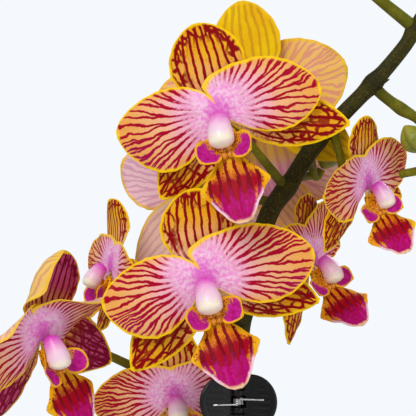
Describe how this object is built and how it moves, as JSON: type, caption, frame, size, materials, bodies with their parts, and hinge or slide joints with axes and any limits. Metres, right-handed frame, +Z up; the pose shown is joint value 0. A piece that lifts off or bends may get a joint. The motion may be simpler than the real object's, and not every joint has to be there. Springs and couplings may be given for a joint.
{
  "type": "potted orchid",
  "caption": "Potted moth orchid with striped flowers on arching spikes, strap leaves, bark and a plain cover pot; a hinged claw clip holds the spike to its stake.",
  "frame": {"origin": "centre of the cover pot's flat underside", "axes": "+Z up, from the pot's base to the flowers; the flowers' best side looks along -Y and +X is to the viewer's right"},
  "size_m": [0.2894, 0.1355, 0.4361],
  "materials": {
    "glaze": "gloss",
    "liner_plastic": "satin",
    "bark": "matte",
    "crown": "satin",
    "leaf": "satin",
    "root": "matte",
    "stem": "satin",
    "bud": "satin",
    "stake": "satin",
    "sepal": "satin",
    "petal": "satin",
    "lip": "satin",
    "column": "satin",
    "clip_plastic": "satin",
    "spring_steel": "polished"
  },
  "bodies": {
    "plant": {"cover_pot": "glaze", "nursery_pot": "liner_plastic", "plant_crown": "crown", "leaf_1": "leaf", "leaf_2": "leaf", "leaf_3": "leaf", "leaf_4": "leaf", "leaf_5": "leaf", "aerial_root_1": "root", "aerial_root_2": "root", "support_stake": "stake", "bark_mix": "bark", "flower_1_sepals": "sepal", "flower_1_petals": "petal", "flower_1_lip": "lip", "flower_1_column": "column", "flower_2_sepals": "sepal", "flower_2_petals": "petal", "flower_2_lip": "lip", "flower_2_column": "column", "flower_3_sepals": "sepal", "flower_3_petals": "petal", "flower_3_lip": "lip", "flower_3_column": "column", "flower_4_sepals": "sepal", "flower_4_petals": "petal", "flower_4_lip": "lip", "flower_4_column": "column", "flower_5_sepals": "sepal", "flower_5_petals": "petal", "flower_5_lip": "lip", "flower_5_column": "column", "flower_6_sepals": "sepal", "flower_6_petals": "petal", "flower_6_lip": "lip", "flower_6_column": "column", "flower_7_sepals": "sepal", "flower_7_petals": "petal", "flower_7_lip": "lip", "flower_7_column": "column", "flower_8_sepals": "sepal", "flower_8_petals": "petal", "flower_8_lip": "lip", "flower_8_column": "column", "flower_9_sepals": "sepal", "flower_9_petals": "petal", "flower_9_lip": "lip", "flower_9_column": "column", "flower_10_sepals": "sepal", "flower_10_petals": "petal", "flower_10_lip": "lip", "flower_10_column": "column", "flower_spike": "stem", "side_spike": "stem", "bud_1": "bud", "bud_2": "bud", "bud_3": "bud", "clip_left_half": "clip_plastic", "clip_spring": "spring_steel"},
    "clip_right": {"clip_right_half": "clip_plastic"}
  },
  "joints": [
    {"name": "clip_hinge", "type": "hinge", "parent": "plant", "child": "clip_right", "pos_m": [0, -0.008, 0.295], "axis": [0, 0, -1], "range_deg": [0, 40], "stiffness_Nm_per_rad": 0.01, "springref_deg": -20.05, "deforming": ["clip_spring"]}
  ]
}
